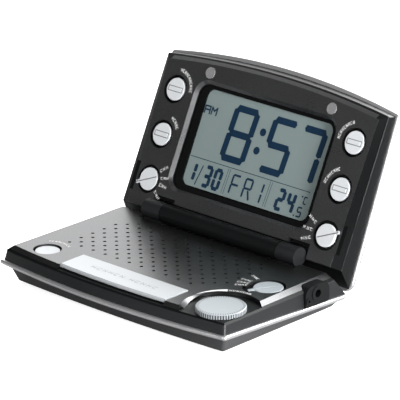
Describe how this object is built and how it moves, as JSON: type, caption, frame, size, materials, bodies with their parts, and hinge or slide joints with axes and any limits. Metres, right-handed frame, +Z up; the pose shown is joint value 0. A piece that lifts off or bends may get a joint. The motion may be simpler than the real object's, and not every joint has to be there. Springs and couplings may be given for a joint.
{
  "type": "travel alarm clock radio",
  "caption": "Fold-out travel alarm clock with a radio: a display lid hinged to a speaker base with a snooze bar, dial, selectors, buttons and an earphone socket.",
  "frame": {"origin": "middle of the bounding box on the surface that the rubber feet stand on, lid open", "axes": "+X along the hinge to the dial side, +Y towards the hinge and the raised lid, +Z up"},
  "size_m": [0.134, 0.124, 0.085],
  "materials": {
    "black_case": "fine satin black",
    "gunmetal_lacquer": "metallic lacquer with a fine flake",
    "silver_trim": "silver paint",
    "graphite_shell": "graphite lacquer",
    "silver_button": "pale silver paint",
    "display_glass": "clear acrylic",
    "display_cell": "grey green liquid crystal cell",
    "clear_acrylic": "milky acrylic",
    "board": "solder mask",
    "switch_plastic": "moulded",
    "steel": "plated steel",
    "spring_metal": "plated contact metal",
    "copper": "enamelled copper",
    "ferrite": "dull ferrite",
    "cone_paper": "pressed paper",
    "cell_sleeve": "printed sleeve",
    "rubber": "moulded",
    "grey_rubber": "moulded",
    "cable_sheath": "soft sheath"
  },
  "bodies": {
    "base": {"antenna_coil": "copper", "antenna_rod": "ferrite", "band_switch": "switch_plastic", "base_board": "board", "base_cable": "cable_sheath", "base_lower_case": "graphite_shell", "base_press_switches": "switch_plastic", "base_screws": "steel", "base_trim_ring": "silver_trim", "base_upper_case": "black_case", "battery_cells": "cell_sleeve", "battery_contacts": "spring_metal", "deck_plate": "gunmetal_lacquer", "earphone_jack": "black_case", "front_foot": "rubber", "hinge_pins": "steel", "jack_housing": "black_case", "rear_foot": "rubber", "speaker_cone": "cone_paper", "speaker_frame": "steel", "speaker_magnet": "ferrite", "volume_potentiometer": "steel"},
    "lid": {"backlight_lamps": "clear_acrylic", "display_bezel": "black_case", "display_panel": "display_cell", "display_window": "display_glass", "face_plate": "gunmetal_lacquer", "friction_spring": "steel", "lid_back_shell": "graphite_shell", "lid_board": "board", "lid_bumpers": "grey_rubber", "lid_cable": "cable_sheath", "lid_frame": "black_case", "lid_press_switches": "switch_plastic", "lid_rotary_switches": "switch_plastic", "lid_screws": "steel", "lid_trim_ring": "silver_trim", "light_guide": "clear_acrylic", "quartz_crystal": "steel", "temperature_sensor": "switch_plastic", "zebra_strip": "rubber"},
    "snooze": {"snooze_bar": "silver_button"},
    "alarm": {"alarm_button": "silver_button"},
    "volume": {"volume_dial": "silver_button"},
    "band": {"band_selector": "silver_button"},
    "door": {"battery_door": "graphite_shell"},
    "year": {"year_button": "silver_button"},
    "format": {"format_button": "silver_button"},
    "month": {"month_button": "silver_button"},
    "date": {"date_button": "silver_button"},
    "mode": {"mode_selector": "silver_button"},
    "zone": {"zone_selector": "silver_button"}
  },
  "joints": [
    {"name": "lid_hinge", "type": "hinge", "parent": "base", "child": "lid", "pos_m": [0, 0.01487, 0.0204], "axis": [1, 0, 0], "range_deg": [0, 116]},
    {"name": "snooze_press", "type": "slide", "parent": "base", "child": "snooze", "axis": [0, 0, -1], "range_m": [0, 0.0006], "stiffness_N_per_m": 900, "springref_m": -0.0003},
    {"name": "alarm_press", "type": "slide", "parent": "base", "child": "alarm", "axis": [0, 0, -1], "range_m": [0, 0.0007], "stiffness_N_per_m": 700, "springref_m": -0.0003},
    {"name": "volume_turn", "type": "hinge", "parent": "base", "child": "volume", "pos_m": [0.0536, -0.04403, 0.0164], "axis": [0, 0, 1], "range_deg": [-135, 135]},
    {"name": "band_turn", "type": "hinge", "parent": "base", "child": "band", "pos_m": [0.0529, -0.01353, 0.0164], "axis": [0, 0, 1], "range_deg": [-30, 14]},
    {"name": "door_slide", "type": "slide", "parent": "base", "child": "door", "axis": [0, 1, 0], "range_m": [0, 0.0035]},
    {"name": "year_press", "type": "slide", "parent": "lid", "child": "year", "axis": [0, 0.8988, -0.4384], "range_m": [0, 0.0008], "stiffness_N_per_m": 600, "springref_m": -0.0003},
    {"name": "format_press", "type": "slide", "parent": "lid", "child": "format", "axis": [0, 0.8988, -0.4384], "range_m": [0, 0.0008], "stiffness_N_per_m": 600, "springref_m": -0.0003},
    {"name": "month_press", "type": "slide", "parent": "lid", "child": "month", "axis": [0, 0.8988, -0.4384], "range_m": [0, 0.0008], "stiffness_N_per_m": 600, "springref_m": -0.0003},
    {"name": "date_press", "type": "slide", "parent": "lid", "child": "date", "axis": [0, 0.8988, -0.4384], "range_m": [0, 0.0008], "stiffness_N_per_m": 600, "springref_m": -0.0003},
    {"name": "mode_turn", "type": "hinge", "parent": "lid", "child": "mode", "pos_m": [-0.0526, 0.02386, 0.0297], "axis": [0, -0.8988, 0.4384], "range_deg": [-70, 0]},
    {"name": "zone_turn", "type": "hinge", "parent": "lid", "child": "zone", "pos_m": [0.0526, 0.02386, 0.0297], "axis": [0, -0.8988, 0.4384], "range_deg": [-47, 0]}
  ]
}
